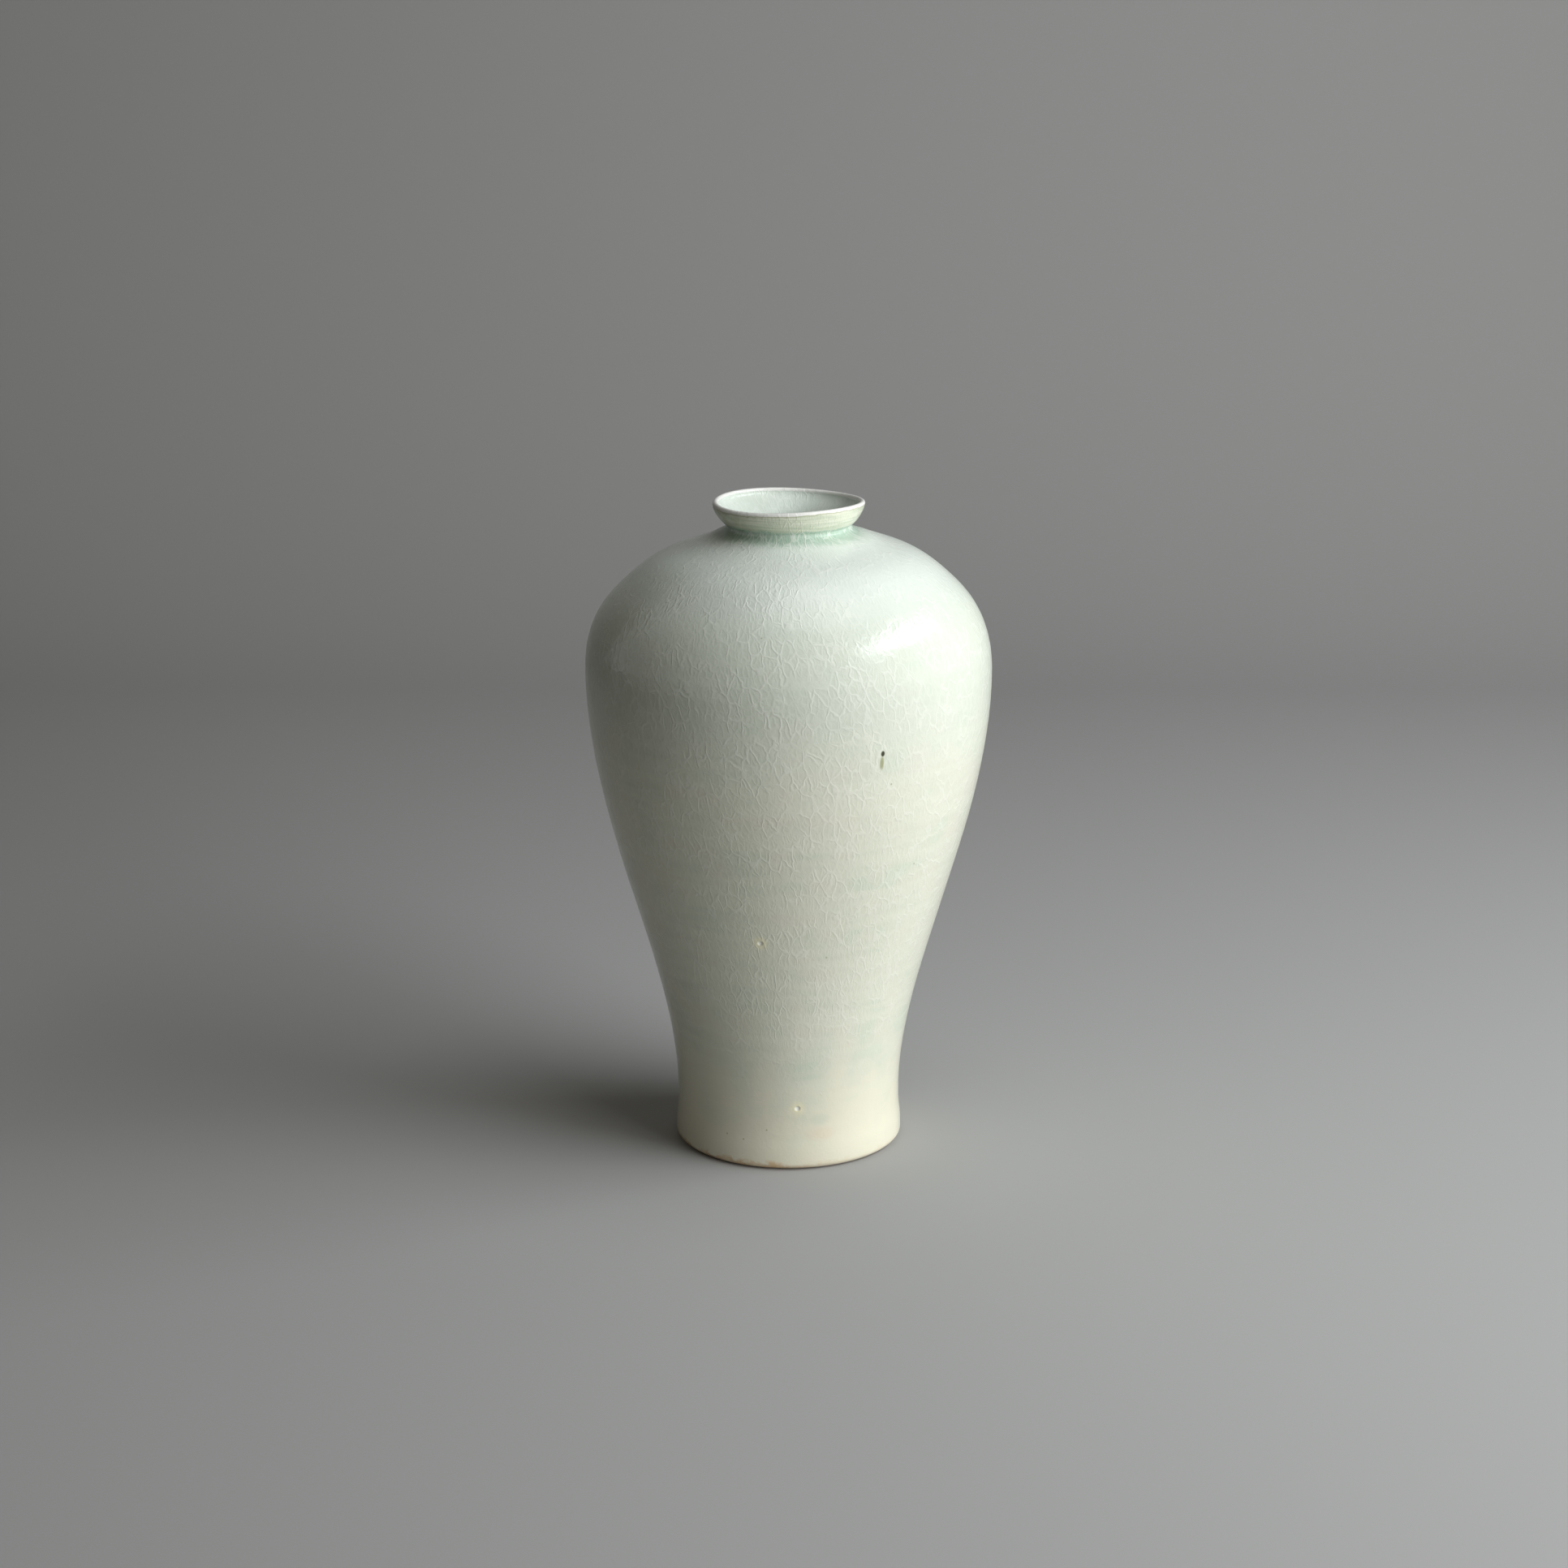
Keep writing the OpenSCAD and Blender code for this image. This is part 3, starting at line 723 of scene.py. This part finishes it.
# %% Specks, pinholes, the iron spot and the flashed edge
def marks(r, tone):
    for centre in SPECKS:
        tone = r.dab(tone, IRON_RUN_AND_PAINTED_SHADE, 0.6, centre, 0.2, 0.6)
    for centre in PINHOLES:
        tone = r.dab(tone, PIN_HALO, 0.75, centre, 1.0, 5.0)
        # The pinhole's core is painted near white, partly as a painted highlight.
        tone = r.dab(tone, PINHOLE_CORE_AND_HIGHLIGHT, 1.0, centre, 0.7, 1.4)
    tone = r.dab(tone, IRON_RUN_AND_PAINTED_SHADE, 0.75, IRON_TAIL, 0.6, 1.25, (1, 1, 0.3))
    return r.dab(tone, IRON, 1.0, IRON_SPOT, 0.6, 1.15, (1, 1, 0.7))


def flashed_edge(r, z, tone):
    patches = r.band(r.noise(9), 0.3, 0.6, FLASH_LEAST, FLASH_MOST)
    flashed = r.both(patches, r.band(r.axis("X"), PLAIN_SIDE * MM, FLASH_SIDE * MM, PLAIN_SHARE, 1.0))
    edge = r.wander(z, r.noise(5), FLASH_WANDER)
    return r.mix(r.both(r.band(edge, FLASH_FROM * MM, FLASH_TO * MM), flashed), tone, FLASH)


# %% The glaze's surface
# Broad swells and fine peel, each as the size of a bump and its depth, in millimetres.
SWELL, PEEL = (3.2, 0.06), (0.8, 0.02)
PIT, PIT_FLOOR, PIT_EDGE = 0.45, 0.3, 1.6
LINE_HEIGHT, LINE_SHARE = 0.08, 0.25
SMOOTHEST, ROUGHEST = 0.15, 0.2
SHINE = 0.42
CLOUD_SIZE = 17


def surface(r, tone, cracks, cloud):
    r.wire(tone, r.shader.inputs["Base Color"])
    normal = None
    for size, depth in (SWELL, PEEL):
        normal = r.bump(r.noise(size), depth, normal)
    for centre in PINHOLES:
        pit = r.math("SUBTRACT", 1.0, r.spot(centre, PIT_FLOOR, PIT_EDGE))
        normal = r.bump(pit, PIT, normal)
    r.wire(r.bump(cracks, LINE_HEIGHT, normal), r.shader.inputs["Normal"])
    r.wire(r.band(cloud, NOISE_LOW, NOISE_HIGH, SMOOTHEST, ROUGHEST), r.shader.inputs["Roughness"])
    r.shader.inputs["Specular IOR Level"].default_value = SHINE


# %% Recipes of the two glazes
def outer_glaze(name):
    r = Recipe(name)
    z = r.axis("Z")
    cloud = r.noise(CLOUD_SIZE, 3.0)
    cracks = r.both(crackle(r, cloud), r.band(z, CRACKS_FROM * MM, CRACKS_TO * MM, FAINT_CRACKS, 1.0))
    tone = r.mix(r.both(cracks, LINE_SHARE), wall_tone(r, z, cloud), GLAZE_CRACK)
    tone = lip_tone(r, neck_tone(r, z, tone, cracks))
    surface(r, flashed_edge(r, z, marks(r, tone)), cracks, cloud)
    return r.material


def lining_glaze(name):
    r = Recipe(name)
    cloud = r.noise(CLOUD_SIZE, 3.0)
    cracks = crackle(r, cloud)
    tone = r.mix(r.band(cloud, NOISE_LOW, NOISE_HIGH), GLAZE_DISH, GLAZE_DARKER_GREEN)
    surface(r, r.mix(r.both(cracks, LINE_SHARE), tone, GLAZE_CRACK), cracks, cloud)
    return r.material


dress(outer_coat, outer_glaze("celadon_glaze"))
lining_material = lining_glaze("lining_celadon")
dress(inner_coat, lining_material)
dress(base_coat, lining_material)
coats = (outer_coat, inner_coat, base_coat)
print("materials on the coats:", [coat.data.materials[0].name for coat in coats])

# %% [markdown]
# ## The bare clay
# The foot ring is wiped clean so that it doesn't stick to the kiln shelf. The stoneware there is buff and a
# little sandy, and it flashed orange-brown where it meets the glaze.

# %% Recipe of the clay
CLAY = colour(0.50, 0.40, 0.28)
CLAY_PALE = colour(0.60, 0.50, 0.37)
CLAY_FLASH = colour(0.42, 0.22, 0.09)
CLAY_FLASH_FROM, CLAY_FLASH_TO = 0.1, 0.8
GRAIN_SIZE, GRAIN_DEPTH = 0.9, 0.08
CLAY_ROUGHNESS = 0.8


def stoneware(name):
    r = Recipe(name)
    grain = r.noise(GRAIN_SIZE, 3.0)
    tone = r.mix(r.band(grain, 0.3, 0.75), CLAY, CLAY_PALE)
    above_ring = r.band(r.axis("Z"), CLAY_FLASH_FROM * MM, CLAY_FLASH_TO * MM)
    flash = r.both(above_ring, r.band(r.noise(14), 0.35, 0.6))
    r.wire(r.mix(flash, tone, CLAY_FLASH), r.shader.inputs["Base Color"])
    r.wire(r.bump(grain, GRAIN_DEPTH), r.shader.inputs["Normal"])
    r.shader.inputs["Roughness"].default_value = CLAY_ROUGHNESS
    return r.material


clay = stoneware("bare_stoneware")
for piece in (lower, upper, mouth, body_coil, neck_coil):
    dress(piece, clay)
print("material on the clay:", clay.name)

# %% [markdown]
# ## The floor
# The photograph has a soft grey background without a corner. In a studio a sheet of paper makes one: it
# lies flat under the vase and curves up behind it, and so does this sheet. Its sizes are in metres.

# %% Floor with a curved back
FLOOR_COLOUR = colour(0.41, 0.41, 0.41)
FLOOR_ROUGHNESS = 0.9
SHEET_HALF, SHEET_FLAT_TO = 2.6, 0.9
SHEET_BEND, SHEET_BEND_STEPS, SHEET_TOP = 0.5, 12, 2.2

angles = [math.pi / 2 * i / SHEET_BEND_STEPS for i in range(1, SHEET_BEND_STEPS + 1)]
line = [(-SHEET_HALF, 0), (SHEET_FLAT_TO, 0)]
line += [(SHEET_FLAT_TO + SHEET_BEND * math.sin(a), SHEET_BEND * (1 - math.cos(a))) for a in angles]
line += [(SHEET_FLAT_TO + SHEET_BEND, SHEET_TOP)]
sweep = bmesh.new()
verts = [sweep.verts.new((-SHEET_HALF, y, z)) for y, z in line]
edges = [sweep.edges.new(pair) for pair in zip(verts, verts[1:])]
side = bmesh.ops.extrude_edge_only(sweep, edges=edges)
far_verts = [item for item in side["geom"] if isinstance(item, bmesh.types.BMVert)]
bmesh.ops.translate(sweep, verts=far_verts, vec=(2 * SHEET_HALF, 0, 0))
bmesh.ops.recalc_face_normals(sweep, faces=sweep.faces)
sweep_data = bpy.data.meshes.new("floor")
sweep.to_mesh(sweep_data)
sweep.free()
sweep_data.shade_smooth()
floor_sheet = bpy.data.objects.new("floor", sweep_data)
bpy.context.scene.collection.objects.link(floor_sheet)
print("floor sheet has", len(sweep_data.polygons), "faces")

# %% The floor's paper
paper = Recipe("floor_paper")
paper.wire(FLOOR_COLOUR, paper.shader.inputs["Base Color"])
paper.shader.inputs["Roughness"].default_value = FLOOR_ROUGHNESS
dress(floor_sheet, paper.material)

# %% [markdown]
# ## The light
# A narrow high window at the right gives the one slanted highlight on the shoulder. A broad low lamp on
# the same side lights the wall evenly. Mirror reflections leave it out, because the glaze in the photograph
# shows only the one window. A weak lamp overhead fills in the shoulder. Shadows are filled by a dim warm
# room, but the camera and the glaze's reflections see pale walls instead, as they would in a bright room.
# A lamp is set by its direction round the vase and its height in degrees, then its distance, width and
# height in metres, its watts and its tint.

# %% Lamps
LAMP_AIM = Vector((0, 0, 0.18))


def lamp(name, azimuth, elevation, distance, width, height, watts, tint):
    data = bpy.data.lights.new(name, "AREA")
    data.shape = "RECTANGLE"
    data.size, data.size_y = width, height
    data.energy = watts
    data.color = tint
    light = bpy.data.objects.new(name, data)
    a, e = math.radians(azimuth), math.radians(elevation)
    offset = Vector((math.sin(a) * math.cos(e), -math.cos(a) * math.cos(e), math.sin(e))) * distance
    light.location = LAMP_AIM + offset
    light.rotation_euler = (-offset).to_track_quat("-Z", "Y").to_euler()
    bpy.context.scene.collection.objects.link(light)
    return light


window = lamp("window", 76, 38.5, 1.2, 1.1, 0.24, 7.8, (0.93, 0.98, 1))
side_window = lamp("side_window", 60, 12, 1.7, 1.7, 1.0, 26.6, (1, 0.998, 0.985))
side_window.visible_glossy = False
ceiling = lamp("ceiling", 60, 78, 1.3, 0.7, 0.7, 2.9, (0.98, 1, 1))
print("lamps:", [light.name for light in (window, side_window, ceiling)])

# %% The room round the vase
ROOM_FILL = colour(0.055, 0.048, 0.034)
ROOM_WALLS = colour(0.62, 0.64, 0.63)

world = bpy.data.worlds.new("room")
world.use_nodes = True
bpy.context.scene.world = world
room = world.node_tree
rays = room.nodes.new("ShaderNodeLightPath").outputs
seen = room.nodes.new("ShaderNodeMath")
seen.operation = "MAXIMUM"
room.links.new(rays["Is Camera Ray"], seen.inputs[0])
room.links.new(rays["Is Glossy Ray"], seen.inputs[1])
walls = room.nodes.new("ShaderNodeMix")
walls.data_type = "RGBA"
walls.inputs["A"].default_value = ROOM_FILL
walls.inputs["B"].default_value = ROOM_WALLS
room.links.new(seen.outputs[0], walls.inputs["Factor"])
room.links.new(walls.outputs["Result"], room.nodes["Background"].inputs["Color"])

# %% [markdown]
# ## The view
# The standard view shows the colours as they were mixed.

# %% View
bpy.context.scene.view_settings.view_transform = "Standard"
